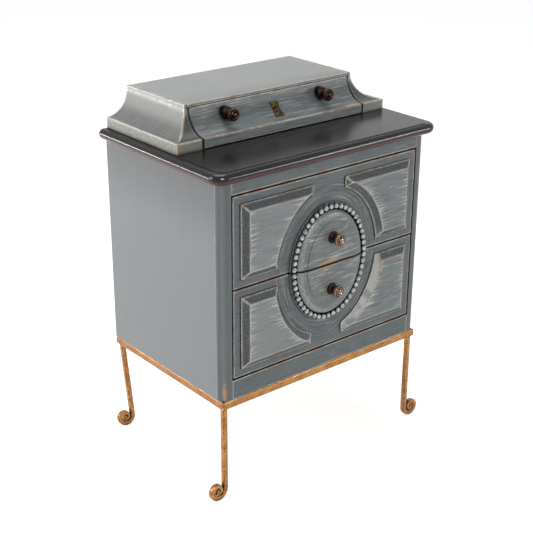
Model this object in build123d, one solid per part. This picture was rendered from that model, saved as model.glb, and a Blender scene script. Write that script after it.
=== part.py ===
from build123d import *
import math
import os

# Nightstand: a case of two drawers on a scrolled iron stand, with a coved one-drawer chest
# on its top board. Millimetres, +Z up, X to the right as seen from the front, front at -Y.
# The origin is on the floor, under the middle of the whole object.

# Case
case_width = 560.0
case_depth = 404.0
case_height = 474.5
side_thickness = 18.0
front_thickness = 20.0
post_width = 25.0
post_radius = 18.0
bottom_rail_height = 44.4
top_rail_height = 29.0
case_bottom_thickness = 12.0
back_thickness = 6.0
dado_depth = 4.0
back_rebate = 10.0
divider_depth = 40.0
divider_height = 16.0

# Top board
board_thickness = 24.0
board_side_overhang = 22.0
board_front_overhang = 19.0
board_corner_radius = 28.0
board_back_corner_radius = 12.0
board_edge_radius = 11.0
board_step = 1.5
board_step_inset = 14.0
board_step_radius = 16.0

# Stand
leg_height = 216.0
bar_width = 20.0
bar_height = 18.0
bar_rounding = 2.5
leg_bar = 11.0
leg_inset = 9.5
back_leg_lean = 20.0
scroll_start_radius = 20.5
scroll_pitch = 11.5
scroll_turns = 1.35
scroll_steps_per_turn = 12
scroll_tip = 6.0
foot_flat = 0.3
stand_screw_diameter = 5.0
stand_screw_length = 40.0
stand_screw_head_radius = 4.5
stand_screw_head_rise = 3.0
front_screw_x = 150.0
side_screw_spread = 110.0

# Drawers of the case
drawer_gap = 3.0
stop_gap = 0.3
slide_gap = 0.3
guide_gap = 1.0
drawer_side_thickness = 12.0
drawer_side_height = 178.0
drawer_side_lift = 2.0
drawer_side_inset = 5.0
drawer_back_thickness = 12.0
drawer_back_drop = 12.0
drawer_bottom_thickness = 6.0
drawer_bottom_rise = 8.0
drawer_groove = 6.0
drawer_back_gap = 13.0
front_edge_rounding = 1.5
runner_width = 26.0
runner_lip = 20.0
kicker_height = 30.0
kicker_gap = 5.0

# Ornament on the drawer fronts. Both ovals are centred on the split between the drawers.
panel_side_margin = 18.5
panel_end_margin = 18.0
panel_tip_x = 43.0
panel_tip_height = 24.07
panel_quirk = 2.5
panel_rise = 13.5
panel_bevel = 15.5
panel_tip_radius = 5.0
panel_oval_half_width = 139.0
panel_field_spread = (14.5, 17.0)
oval_gap = (33.0, 32.0)
medallion_base = 3.0
medallion_steps = [(14.0, 3.0), (16.0, 7.5), (19.5, 10.8), (27.5, 13.8), (35.5, 15.0)]
field_inset = 37.5
field_rise = 16.2
bead_inset = 7.5
bead_radius = 6.0
beads_in_half = 25
bead_strip_width = 8.0
bead_strip_rise = 1.5

# Knobs, with the fixing screws
knob_field_margin = 35.5
knob_reach = 28.0
knob_base_radius = 13.0
knob_base_rise = 5.0
knob_waist_radius = 8.0
knob_head_radius = 13.8
knob_head_rise = 11.0
knob_ring_depth = 1.2
knob_bore_depth = 12.0
screw_diameter = 4.0
screw_head_diameter = 8.0
screw_head_rise = 2.5
screw_clearance = 0.1

# Coved chest
chest_plinth_overhang = 1.9
chest_end_cove = 54.9
chest_end_top_width = 7.5
chest_depth = 258.8
chest_cove_depth = 51.6
chest_height = 82.0
plinth_height = 22.0
chest_side_gap = 1.8
chest_pad_gap = 3.0
chest_gap_below = 1.5
chest_gap_above = 1.3
chest_cap = 6.0
chest_back_thickness = 8.0
chest_back_setback = 9.1
chest_front_thickness = 15.0
chest_drawer_side_thickness = 10.0
chest_drawer_side_height = 56.0
chest_drawer_bottom_thickness = 4.0
chest_drawer_bottom_rise = 6.0
chest_drawer_groove = 5.0
chest_drawer_back_gap = 0.5
chest_knob_inset = 87.5
chest_knob_height = 53.0
escutcheon_width = 24.0
escutcheon_waist = 17.0
escutcheon_height = 25.0
escutcheon_thickness = 1.6
escutcheon_seat = 0.2
escutcheon_centre_height = 41.0
keyhole_radius = 2.6
keyhole_slot = 2.4
keyhole_drop = 9.0
keyhole_depth = 8.0

# Places that follow from the sizes above
knob_tip_reach = field_rise + knob_reach
front = knob_tip_reach - (case_depth + knob_tip_reach) / 2
back = front + case_depth
frame_top = leg_height + bar_height
case_top = frame_top + case_height
board_top = case_top + board_thickness
inner_half = case_width / 2 - side_thickness
opening_half = case_width / 2 - post_width
opening_bottom = frame_top + bottom_rail_height
opening_top = case_top - top_rail_height
front_back = front + front_thickness
back_inner = back - back_thickness
drawer_front_height = (opening_top - opening_bottom - 3 * drawer_gap) / 2
drawer_front_half = opening_half - drawer_gap
split = opening_bottom + 1.5 * drawer_gap + drawer_front_height
drawer_side_outer = drawer_front_half - drawer_side_inset
drawer_rear = back_inner - drawer_back_gap
drawer_bottoms = {
    "lower": opening_bottom + drawer_gap,
    "upper": split + drawer_gap / 2,
}
panel_outer_x = drawer_front_half - panel_side_margin
panel_height = drawer_front_height - 2 * panel_end_margin
panel_top = drawer_gap / 2 + panel_end_margin + panel_height
panel_oval_slope = math.sqrt(1 - (panel_tip_x / panel_oval_half_width) ** 2)
panel_oval = (panel_oval_half_width, (panel_top - panel_tip_height) / panel_oval_slope)
panel_field_oval = tuple(size + spread for size, spread in zip(panel_oval, panel_field_spread))
medallion_oval = tuple(size - gap for size, gap in zip(panel_oval, oval_gap))
knob_from_split = medallion_oval[1] - field_inset - knob_field_margin
slab_top = board_top - board_step
chest_half = case_width / 2 + chest_plinth_overhang
chest_top_half = chest_half - chest_end_cove
chest_inner = chest_top_half - chest_end_top_width
chest_drawer_half = chest_inner - chest_side_gap
chest_back = back - chest_back_setback
chest_front = chest_back - chest_depth
chest_top = board_top + chest_height
chest_drawer_face = chest_front + chest_cove_depth + chest_front_thickness
chest_drawer_rear = chest_back - chest_back_thickness - chest_drawer_back_gap

# Faces drawn as the viewer sees them: local x to the right, local y up, local z towards -Y
front_face = Plane(origin=(0, front, split), x_dir=(1, 0, 0), z_dir=(0, -1, 0))
side_of = {"left": -1, "right": 1}


def block(x, y, z):
    """A box given by its two limits along each axis."""
    centre = [(low + high) / 2 for low, high in (x, y, z)]
    size = [abs(high - low) for low, high in (x, y, z)]
    return Pos(*centre) * Box(*size)


def mirrored(side, near, far):
    """The two X limits of a piece on the left or the right."""
    return tuple(sorted((side_of[side] * near, side_of[side] * far)))


def rod(x, y, z, direction, radius, length):
    """A round bar that starts at a point and runs along a direction."""
    return Plane(origin=(x, y, z), z_dir=direction) * Cylinder(
        radius, length, align=(Align.CENTER, Align.CENTER, Align.MIN)
    )


# Iron stand


def stand_bar(side, screws):
    """One bar of the ring, with mitred ends and rounded long edges."""
    middle_y = (front + back) / 2
    lengths = {"front": case_width, "back": case_width, "left": case_depth, "right": case_depth}
    turns = {"front": 0, "right": 90, "back": 180, "left": 270}
    half = lengths[side] / 2
    outline = Polyline(
        (-half, 0), (half, 0), (half - bar_width, bar_width), (bar_width - half, bar_width), close=True
    )
    bar = extrude(make_face(outline), bar_height)
    bar = fillet(bar.edges().filter_by(Axis.X), bar_rounding)
    reach = case_depth / 2 if side in ("front", "back") else case_width / 2
    place = Pos(0, middle_y, leg_height) * Rot(0, 0, turns[side]) * Pos(0, -reach, 0)
    return place * bar - screws


def scroll_point(turn, offset):
    """A point of the scroll, measured from its eye, a number of turns after the leg meets it."""
    radius = scroll_start_radius - scroll_pitch * turn
    thickness = leg_bar + (scroll_tip - leg_bar) * turn / scroll_turns
    angle = math.pi + 2 * math.pi * turn
    reach = radius + offset * thickness / 2
    return reach * math.cos(angle), reach * math.sin(angle)


def leg(side, row):
    """A square bar leg that curls outward into a scroll foot, in one flat plane.

    The back legs lean inward, so that their scrolls stand under the corners of the case.
    """
    lean = back_leg_lean if row == "back" else 0
    steps = round(scroll_turns * scroll_steps_per_turn)
    turns = [scroll_turns * step / steps for step in range(steps + 1)]
    eye_x = scroll_start_radius
    eye_z = max(-scroll_point(turn, 1)[1] for turn in turns) - foot_flat
    edges = []
    for offset in (1, -1):
        points = [scroll_point(turn, offset) for turn in turns]
        points = [(eye_x + x, eye_z + z) for x, z in points]
        edges.append([(x - lean * (1 - z / leg_height), z) for x, z in points])
    outer, inner = edges
    outside = Spline(*outer)
    inside = Spline(*reversed(inner))
    tip = Line(outer[-1], inner[-1])
    bar = Polyline(inner[0], (leg_bar / 2, leg_height), (-leg_bar / 2, leg_height), outer[0])
    outline = make_face([outside, tip, inside, bar])
    plane = Plane(origin=(0, leg_bar / 2, 0), x_dir=(1, 0, 0), z_dir=(0, -1, 0))
    solid = plane * extrude(outline, leg_bar)
    solid -= block((-case_width, case_width), (-leg_bar, leg_bar), (-leg_bar, 0))
    if side == "left":
        solid = mirror(solid, Plane.YZ)
    y = front + leg_inset if row == "front" else back - leg_inset
    return Pos(side_of[side] * (case_width / 2 - leg_inset), y, 0) * solid


def stand_screw_places():
    """Where the screws go up through the ring: two in front, two on each side."""
    middle_y = (front + back) / 2
    inset = bar_width / 2
    side_x = case_width / 2 - inset
    places = [(x, front + inset) for x in (-front_screw_x, front_screw_x)]
    for x in (-side_x, side_x):
        places += [(x, middle_y + y) for y in (-side_screw_spread, side_screw_spread)]
    return places


def stand_screws(clearance):
    """Round-headed screws from below the ring into the case."""
    radius = stand_screw_diameter / 2 + clearance
    shanks = [
        rod(x, y, leg_height - 1, (0, 0, 1), radius, stand_screw_length + 1)
        for x, y in stand_screw_places()
    ]
    if clearance:
        return Part() + shanks
    heads = []
    for x, y in stand_screw_places():
        start = leg_height - stand_screw_head_rise
        head = rod(x, y, start, (0, 0, 1), stand_screw_head_radius, stand_screw_head_rise)
        heads.append(chamfer(head.edges().group_by(Axis.Z)[0], 1.2))
    return Part() + shanks + heads


# Case


def case_side(side, screws):
    """A side panel with a rebate for the back and one for the bottom."""
    panel = block(mirrored(side, inner_half, case_width / 2), (front_back, back), (frame_top, case_top))
    panel -= block(
        mirrored(side, inner_half, inner_half + back_rebate), (back_inner, back), (frame_top, case_top)
    )
    panel -= block(
        mirrored(side, inner_half, inner_half + dado_depth),
        (front_back, back_inner),
        (frame_top, frame_top + case_bottom_thickness),
    )
    return panel - screws


def corner_post(side):
    """A front corner post with a round outer corner."""
    post = block(mirrored(side, opening_half, case_width / 2), (front, front_back), (frame_top, case_top))
    corner = post.edges().filter_by(Axis.Z).group_by(Axis.Y)[0].sort_by(Axis.X)
    return fillet(corner[0 if side == "left" else -1], post_radius)


def case_bottom():
    across = inner_half + dado_depth
    return block(
        (-across, across), (front_back, back_inner), (frame_top, frame_top + case_bottom_thickness)
    )


def case_back():
    across = inner_half + back_rebate
    return block((-across, across), (back_inner, back), (frame_top, case_top))


def runner_top(drawer):
    return drawer_bottoms[drawer] + drawer_side_lift - slide_gap


def divider_rail():
    """The rail behind the split, which both drawer fronts stop against."""
    start = front_back + stop_gap
    top = runner_top("upper")
    return block((-inner_half, inner_half), (start, start + divider_depth), (top - divider_height, top))


def runner(drawer, side):
    """A bearer with a lip that guides the drawer side."""
    top = runner_top(drawer)
    if drawer == "upper":
        start, bottom = front_back + stop_gap + divider_depth, top - divider_height
    else:
        start, bottom = front_back + stop_gap, frame_top + case_bottom_thickness
    lip_inner = drawer_side_outer + guide_gap
    ledge = block(mirrored(side, inner_half - runner_width, inner_half), (start, back_inner), (bottom, top))
    lip = block(mirrored(side, lip_inner, inner_half), (start, back_inner), (top, top + runner_lip))
    return ledge + lip


def kicker(side):
    """A strip above the side of the upper drawer that keeps it from tipping."""
    bottom = drawer_bottoms["upper"] + drawer_side_lift + drawer_side_height + kicker_gap
    return block(
        mirrored(side, inner_half - runner_width, inner_half),
        (front_back, back_inner),
        (bottom, bottom + kicker_height),
    )


def top_board():
    """The board with a rolled edge. A low step frames the field in front of the chest.

    The chest stands behind the step. Its drawer runs on a pad as high as the step.
    """
    half = case_width / 2 + board_side_overhang
    near = front - board_front_overhang
    plan = Pos(0, (near + back) / 2) * Rectangle(2 * half, back - near)
    plan = fillet(plan.vertices().group_by(Axis.Y)[0], board_corner_radius)
    plan = fillet(plan.vertices().group_by(Axis.Y)[-1], board_back_corner_radius)
    slab = extrude(plan, board_thickness - board_step)
    rims = slab.edges().group_by(Axis.Z)
    slab = Pos(0, 0, case_top) * fillet([*rims[0], *rims[-1]], board_edge_radius)
    levels = (slab_top - board_step, board_top)
    step = block((-chest_half, chest_half), (near + board_step_inset, chest_front), levels)
    step = fillet(step.edges().filter_by(Axis.Z).group_by(Axis.Y)[0], board_step_radius)
    pad_y = (chest_front + chest_pad_gap, chest_back - chest_back_thickness)
    return slab + step + block((-chest_inner, chest_inner), pad_y, levels)


# Drawers of the case


def drawer_span(drawer):
    """The height of the bottom and the top of a drawer front."""
    bottom = drawer_bottoms[drawer]
    return bottom, bottom + drawer_front_height


def own_half(drawer):
    """A box that holds the ornament on the drawer's own side of the split."""
    low, high = drawer_span(drawer)
    return block((-opening_half, opening_half), (front - knob_tip_reach, front), (low, high))


def knob_height(drawer):
    return split + (knob_from_split if drawer == "upper" else -knob_from_split)


def knob_hole(x, z, y_start, y_end, clearance=screw_clearance):
    return rod(x, y_start, z, (0, 1, 0), screw_diameter / 2 + clearance, y_end - y_start)


def front_hole(drawer):
    return knob_hole(0, knob_height(drawer), front - field_rise - 1, front_back + 1)


def drawer_bottom_levels(drawer):
    low = drawer_bottoms[drawer] + drawer_side_lift + drawer_bottom_rise
    return low, low + drawer_bottom_thickness


def drawer_front(drawer):
    """The flush front board, grooved behind for the bottom panel."""
    low, high = drawer_span(drawer)
    board = block((-drawer_front_half, drawer_front_half), (front, front_back), (low, high))
    board = fillet(board.faces().sort_by(Axis.Y)[0].edges(), front_edge_rounding)
    across = drawer_side_outer - drawer_side_thickness + drawer_groove
    groove = block((-across, across), (front_back - drawer_groove, front_back), drawer_bottom_levels(drawer))
    return board - groove - front_hole(drawer)


def raised_panel(drawer, side):
    """A panel with mitred bevels, cut off at its inner end by the panel oval."""
    low, high = drawer_span("upper")
    width = panel_outer_x - panel_tip_x
    centre = Pos((panel_outer_x + panel_tip_x) / 2, (low + high) / 2 - split)
    whole = centre * Rectangle(width, panel_height)
    outline = whole - Ellipse(*panel_oval)
    outline = fillet(outline.vertices().sort_by(Axis.X)[:2], panel_tip_radius)
    bevel_rise = panel_rise - panel_quirk
    raised = extrude(whole, bevel_rise, taper=math.degrees(math.atan(panel_bevel / bevel_rise)))
    flare = loft([Ellipse(*panel_oval), Pos(0, 0, bevel_rise) * Ellipse(*panel_field_oval)])
    raised = (raised - flare) & extrude(outline, panel_rise)
    panel = extrude(outline, panel_quirk) + Pos(0, 0, panel_quirk) * raised
    if side == "left":
        panel = mirror(panel, Plane.YZ)
    if drawer == "lower":
        panel = mirror(panel, Plane.XZ)
    return front_face * panel


def medallion(drawer):
    """Half of the oval boss: a flat rim, a rounded band and a raised field."""
    wide, tall = medallion_oval
    rim = extrude(Ellipse(wide, tall), medallion_base)
    rings = [Pos(0, 0, rise) * Ellipse(wide - inset, tall - inset) for inset, rise in medallion_steps]
    band = loft(rings)
    field = extrude(Ellipse(wide - field_inset, tall - field_inset), field_rise)
    whole = front_face * (rim + band + field)
    return (whole & own_half(drawer)) - front_hole(drawer)


def bead_ring(drawer):
    """Half of the ring of beads: a flat strip with half-sunk balls at even steps."""
    wide, tall = (size - bead_inset for size in medallion_oval)
    spread = bead_strip_width / 2
    strip = extrude(
        Ellipse(wide + spread, tall + spread) - Ellipse(wide - spread, tall - spread), bead_strip_rise
    )
    arc = EllipticalCenterArc((0, 0), wide, tall, 0, arc_size=180)
    ball = Pos(0, 0, bead_radius - medallion_base) * Sphere(bead_radius)
    ball -= Pos(0, 0, -bead_radius) * Box(3 * bead_radius, 3 * bead_radius, 2 * bead_radius)
    spots = [arc @ ((index + 0.5) / beads_in_half) for index in range(beads_in_half)]
    sign = 1 if drawer == "upper" else -1
    beads = [Pos(spot.X, sign * spot.Y) * ball for spot in spots]
    low, high = drawer_span(drawer)
    half_plane = block((-case_width, case_width), (front - case_depth, front), (low, high))
    half_strip = (front_face * Pos(0, 0, medallion_base) * strip) & half_plane
    return half_strip + [front_face * Pos(0, 0, medallion_base) * bead for bead in beads]


def knob_profile():
    """Half of the knob's turned section: distance from the axis, distance from the field."""
    base, waist, head = knob_base_radius, knob_waist_radius, knob_head_radius
    head_start = knob_reach - knob_head_rise
    outline = Polyline(
        (0, 0),
        (base, 0),
        (base, knob_base_rise - 1.5),
        (base - 1.5, knob_base_rise),
        (waist + 1.5, knob_base_rise),
    )
    neck = ThreePointArc(
        (waist + 1.5, knob_base_rise), (waist, (knob_base_rise + head_start) / 2), (waist + 1.5, head_start)
    )
    ring = Polyline(
        (waist + 1.5, head_start),
        (head - 1.5, head_start + 1),
        (head, head_start + 3.5),
        (head, knob_reach - 4),
        (head - 2, knob_reach - 1.5),
        (head - 3.5, knob_reach - 1.5),
        (head - 3.5, knob_reach - 1.5 - knob_ring_depth),
        (head - 5, knob_reach - 1.5 - knob_ring_depth),
    )
    button = TangentArc((0, knob_reach), ring @ 1, tangent=(1, 0))
    axis = Line((0, knob_reach), (0, 0))
    return make_face([outline, neck, ring, button, axis])


def knob():
    """The turned knob, standing on the local XY plane, bored for its screw."""
    turned = revolve(Plane.XZ * knob_profile(), Axis.Z)
    return turned - Cylinder(
        screw_diameter / 2, knob_bore_depth, align=(Align.CENTER, Align.CENTER, Align.MIN)
    )


def drawer_knob(drawer):
    return front_face * Pos(0, knob_height(drawer) - split, field_rise) * knob()


def knob_screw(x, z, seat_y, tip_y):
    """A pan-headed screw from inside a drawer front into the knob."""
    head = rod(x, seat_y, z, (0, 1, 0), screw_head_diameter / 2, screw_head_rise)
    head = fillet(head.edges().sort_by(Axis.Y)[-1], 1)
    return head + rod(x, seat_y, z, (0, -1, 0), screw_diameter / 2, seat_y - tip_y)


def drawer_side(drawer, side):
    """A drawer side, grooved for the bottom panel."""
    low = drawer_bottoms[drawer] + drawer_side_lift
    inner = drawer_side_outer - drawer_side_thickness
    plank = block(
        mirrored(side, inner, drawer_side_outer), (front_back, drawer_rear), (low, low + drawer_side_height)
    )
    plank = fillet(plank.edges().filter_by(Axis.Y).group_by(Axis.Z)[-1], 2)
    return plank - block(
        mirrored(side, inner, inner + drawer_groove), (front_back, drawer_rear), drawer_bottom_levels(drawer)
    )


def drawer_back(drawer):
    """The back stands on the bottom panel, a little lower than the sides."""
    inner = drawer_side_outer - drawer_side_thickness
    top = drawer_bottoms[drawer] + drawer_side_lift + drawer_side_height - drawer_back_drop
    return block(
        (-inner, inner),
        (drawer_rear - drawer_back_thickness, drawer_rear),
        (drawer_bottom_levels(drawer)[1], top),
    )


def drawer_bottom(drawer):
    across = drawer_side_outer - drawer_side_thickness + drawer_groove
    return block((-across, across), (front_back - drawer_groove, drawer_rear), drawer_bottom_levels(drawer))


# Coved chest on the top board


def cove_section(base_half, cove, grow, one_side):
    """The chest's section: a plinth, a hollow quarter oval above it and a flat top."""
    rise = chest_height - plinth_height
    hollow = EllipticalCenterArc(
        (base_half, chest_height), cove - grow, rise - grow, 180, arc_size=90
    )
    shoulder = [(base_half + grow, plinth_height + grow)] if grow else []
    plinth = Polyline(hollow @ 1, *shoulder, (base_half + grow, 0), (0, 0))
    crown = Polyline((0, 0), (0, chest_height), hollow @ 0)
    half = make_face([hollow, plinth, crown])
    return half if one_side else half + mirror(half, Plane.YZ)


def chest_outside(grow=0):
    """The whole outer shape of the chest: coved on the left, the front and the right."""
    across = cove_section(chest_half, chest_end_cove, grow, one_side=False)
    along = cove_section(chest_depth, chest_cove_depth, grow, one_side=True)
    across_plane = Plane(origin=(0, chest_back, board_top), x_dir=(1, 0, 0), z_dir=(0, -1, 0))
    along_plane = Plane(
        origin=(2 * chest_half, chest_back, board_top), x_dir=(0, -1, 0), z_dir=(-1, 0, 0)
    )
    sideways = extrude(across_plane * across, chest_depth + grow + 1)
    lengthways = extrude(along_plane * along, 4 * chest_half)
    return sideways & lengthways


def chest_end(side, outside):
    """A solid coved end with its share of the front corner, down to the slab."""
    span = mirrored(side, chest_inner, chest_half)
    depth = (chest_front, chest_back)
    foot = block(span, depth, (slab_top, board_top))
    return foot + (outside & block(span, depth, (board_top, chest_top)))


def chest_cap_panel(outside):
    levels = (chest_top - chest_cap, chest_top)
    return outside & block((-chest_inner, chest_inner), (chest_front, chest_back), levels)


def chest_back_panel():
    depth = (chest_back - chest_back_thickness, chest_back)
    return block((-chest_inner, chest_inner), depth, (slab_top, chest_top - chest_cap))


def cove_y(z):
    """How far forward the coved front reaches at a height."""
    rise = chest_height - plinth_height
    return chest_front + chest_cove_depth * math.sqrt(1 - ((chest_top - z) / rise) ** 2)


def chest_knob_places():
    z = board_top + chest_knob_height
    x = chest_drawer_half - chest_knob_inset
    return [(-x, z), (x, z)]


def chest_drawer_bottom_levels():
    low = board_top + slide_gap + chest_drawer_bottom_rise
    return low, low + chest_drawer_bottom_thickness


def keyhole(depth_from, depth_to):
    """The keyhole: a round hole with a slot below it, running along Y."""
    z = board_top + escutcheon_centre_height + keyhole_drop / 4
    length = depth_to - depth_from
    eye = rod(0, depth_from, z, (0, 1, 0), keyhole_radius, length)
    slot = block((-keyhole_slot / 2, keyhole_slot / 2), (depth_from, depth_to), (z - keyhole_drop, z))
    return eye + slot


def chest_drawer_front(outside):
    """The coved front block of the chest drawer, down to the board."""
    half = chest_drawer_half
    levels = (board_top + chest_gap_below, chest_top - chest_cap - chest_gap_above)
    front_block = outside & block((-half, half), (chest_front - 1, chest_drawer_face), levels)
    across = half - chest_drawer_side_thickness + chest_drawer_groove
    front_block -= block(
        (-across, across),
        (chest_drawer_face - chest_drawer_groove, chest_drawer_face),
        chest_drawer_bottom_levels(),
    )
    for x, z in chest_knob_places():
        front_block -= knob_hole(x, z, chest_front, chest_drawer_face + 1)
    hole_start = cove_y(board_top + escutcheon_centre_height) - 2 * keyhole_depth
    return front_block - keyhole(hole_start, hole_start + 3 * keyhole_depth)


def escutcheon():
    """A thin plate with hollow sides that lies on the cove round the keyhole."""
    wide, waist, tall = escutcheon_width / 2, escutcheon_waist / 2, escutcheon_height / 2
    outline = [
        Line((-wide, -tall), (wide, -tall)),
        ThreePointArc((wide, -tall), (waist, 0), (wide, tall)),
        Line((wide, tall), (-wide, tall)),
        ThreePointArc((-wide, tall), (-waist, 0), (-wide, -tall)),
    ]
    plane = Plane(
        origin=(0, chest_drawer_face, board_top + escutcheon_centre_height), x_dir=(1, 0, 0), z_dir=(0, -1, 0)
    )
    prism = plane * extrude(make_face(outline), chest_cove_depth + 2 * chest_front_thickness)
    plate = (prism & chest_outside(escutcheon_seat + escutcheon_thickness)) - chest_outside(escutcheon_seat)
    return plate - keyhole(chest_front - 1, chest_drawer_face)


def chest_knobs(outside):
    """Two knobs whose bases are cut to lie on the cove."""
    knobs = Part()
    for x, z in chest_knob_places():
        seat_y = cove_y(z + knob_base_radius)
        plane = Plane(origin=(x, cove_y(z - knob_base_radius), z), x_dir=(1, 0, 0), z_dir=(0, -1, 0))
        foot = rod(x, plane.origin.Y, z, (0, 1, 0), knob_base_radius, seat_y - plane.origin.Y)
        foot -= rod(x, plane.origin.Y, z, (0, 1, 0), screw_diameter / 2, seat_y - plane.origin.Y)
        knobs += (plane * knob() + foot) - outside
    return knobs


def chest_knob_screws():
    screws = Part()
    for x, z in chest_knob_places():
        tip_y = cove_y(z - knob_base_radius) - knob_bore_depth + 2
        screws += knob_screw(x, z, chest_drawer_face, tip_y)
    return screws


def chest_drawer_side(side):
    low = board_top + slide_gap
    outer = chest_drawer_half
    inner = outer - chest_drawer_side_thickness
    plank = block(
        mirrored(side, inner, outer),
        (chest_drawer_face, chest_drawer_rear),
        (low, low + chest_drawer_side_height),
    )
    return plank - block(
        mirrored(side, inner, inner + chest_drawer_groove),
        (chest_drawer_face, chest_drawer_rear),
        chest_drawer_bottom_levels(),
    )


def chest_drawer_back():
    inner = chest_drawer_half - chest_drawer_side_thickness
    top = board_top + slide_gap + chest_drawer_side_height
    return block(
        (-inner, inner),
        (chest_drawer_rear - chest_drawer_side_thickness, chest_drawer_rear),
        (chest_drawer_bottom_levels()[1], top),
    )


def chest_drawer_bottom():
    across = chest_drawer_half - chest_drawer_side_thickness + chest_drawer_groove
    return block(
        (-across, across),
        (chest_drawer_face - chest_drawer_groove, chest_drawer_rear),
        chest_drawer_bottom_levels(),
    )


def stand_nodes():
    screws = stand_screws(screw_clearance)
    nodes = {f"stand_{side}_bar": stand_bar(side, screws) for side in ("front", "back", "left", "right")}
    for row in ("front", "back"):
        for side in side_of:
            nodes[f"scroll_leg_{row}_{side}"] = leg(side, row)
    nodes["stand_screws"] = stand_screws(0)
    return nodes


def case_nodes():
    screws = stand_screws(screw_clearance)
    low_rail = (frame_top, opening_bottom)
    high_rail = (opening_top, case_top)
    nodes = {
        "bottom_rail": block((-opening_half, opening_half), (front, front_back), low_rail) - screws,
        "top_rail": block((-opening_half, opening_half), (front, front_back), high_rail),
        "case_bottom": case_bottom(),
        "case_back": case_back(),
        "divider_rail": divider_rail(),
        "top_board": top_board(),
    }
    for side in side_of:
        nodes[f"case_side_{side}"] = case_side(side, screws)
        nodes[f"corner_post_{side}"] = corner_post(side)
        nodes[f"kicker_{side}"] = kicker(side)
        for drawer in drawer_bottoms:
            nodes[f"{drawer}_runner_{side}"] = runner(drawer, side)
    return nodes


def drawer_nodes(drawer):
    tip = front - field_rise - knob_bore_depth + 2
    nodes = {
        "front": drawer_front(drawer),
        "medallion": medallion(drawer),
        "bead_ring": bead_ring(drawer),
        "knob": drawer_knob(drawer),
        "knob_screw": knob_screw(0, knob_height(drawer), front_back, tip),
        "back": drawer_back(drawer),
        "bottom": drawer_bottom(drawer),
    }
    for side in side_of:
        nodes[f"panel_{side}"] = raised_panel(drawer, side)
        nodes[f"side_{side}"] = drawer_side(drawer, side)
    return {f"{drawer}_drawer_{name}": solid for name, solid in nodes.items()}


def chest_nodes():
    outside = chest_outside()
    nodes = {
        "chest_top": chest_cap_panel(outside),
        "chest_back": chest_back_panel(),
        "chest_drawer_front": chest_drawer_front(outside),
        "chest_drawer_back": chest_drawer_back(),
        "chest_drawer_bottom": chest_drawer_bottom(),
        "chest_drawer_knobs": chest_knobs(outside),
        "chest_drawer_knob_screws": chest_knob_screws(),
        "chest_drawer_escutcheon": escutcheon(),
    }
    for side in side_of:
        nodes[f"chest_end_{side}"] = chest_end(side, outside)
        nodes[f"chest_drawer_side_{side}"] = chest_drawer_side(side)
    return nodes


nodes = {**stand_nodes(), **case_nodes(), **drawer_nodes("upper"), **drawer_nodes("lower"), **chest_nodes()}
os.makedirs("parts", exist_ok=True)
for name, solid in nodes.items():
    export_step(solid, f"parts/{name}.step")
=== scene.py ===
# %% [markdown]
# # A painted nightstand on a scrolled iron stand
# The object is a small case of two drawers. A coved box with one drawer stands on its
# dark top board, and an antique gold stand of square iron bar carries it.
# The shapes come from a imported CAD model, which loads as a fixed frame in metres.
# This notebook gives it paint, lacquer, gold and bronze, and makes again the few pieces
# that want smoother or richer shapes than the CAD model has.

# %% Load the frame
import math

import bmesh
import bpy
from mathutils import Matrix, Vector


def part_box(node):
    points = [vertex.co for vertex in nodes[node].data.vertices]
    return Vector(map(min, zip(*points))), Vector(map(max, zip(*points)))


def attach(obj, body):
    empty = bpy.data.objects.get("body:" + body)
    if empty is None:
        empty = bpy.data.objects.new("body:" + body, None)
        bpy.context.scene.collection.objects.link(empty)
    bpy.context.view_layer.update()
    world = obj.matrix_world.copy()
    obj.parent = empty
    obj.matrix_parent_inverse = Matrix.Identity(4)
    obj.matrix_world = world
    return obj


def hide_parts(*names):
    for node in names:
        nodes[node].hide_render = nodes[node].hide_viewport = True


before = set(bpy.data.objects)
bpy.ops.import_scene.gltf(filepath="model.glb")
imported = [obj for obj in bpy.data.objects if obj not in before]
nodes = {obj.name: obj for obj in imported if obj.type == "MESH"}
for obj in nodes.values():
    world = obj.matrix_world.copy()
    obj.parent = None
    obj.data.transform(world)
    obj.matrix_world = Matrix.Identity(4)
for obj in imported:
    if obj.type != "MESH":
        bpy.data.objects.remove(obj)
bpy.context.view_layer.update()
MM = 0.001

# %% [markdown]
# ## Helpers
# Colours are written as sRGB hex values, the way a paint card or a picture editor gives
# them, and one function turns them to the linear values that the shaders want.
# A material's node tree is built with one other function, which makes a node, sets its
# own settings, and gives each socket a plain value or a link from another node.

# %% Colour from a hex value
def colour(text):
    """The linear RGBA of a sRGB hex colour."""
    def linear(c):
        return c / 12.92 if c <= 0.04045 else ((c + 0.055) / 1.055) ** 2.4
    return (*(linear(int(text[i:i + 2], 16) / 255) for i in (0, 2, 4)), 1.0)


# %% Adding a node
def add(tree, kind, sockets=None, **settings):
    """Adds a node. `sockets` maps an input to a value, a node or a node's output."""
    node = tree.nodes.new(kind)
    for name, value in settings.items():
        setattr(node, name, value)
    for key, value in (sockets or {}).items():
        if isinstance(value, bpy.types.Node):
            value = next(output for output in value.outputs if output.enabled)
        if isinstance(value, bpy.types.NodeSocket):
            tree.links.new(value, node.inputs[key])
        else:
            node.inputs[key].default_value = value
    return node


def new_material(name):
    """A material with an empty tree, and the place on the piece that its patterns read."""
    material = bpy.data.materials.new(name)
    material.use_nodes = True
    tree = material.node_tree
    tree.nodes.clear()
    return material, tree, add(tree, "ShaderNodeTexCoord").outputs["Object"]


# %% [markdown]
# ## Camera
# The place and the lens were worked out from the way the photographed edges run
# together. A long lens stands well back from the object and a little above it, so the
# upright edges stay nearly parallel. The camera is turned with a matrix and not with a
# constraint, so that its place is plain to read.

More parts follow.
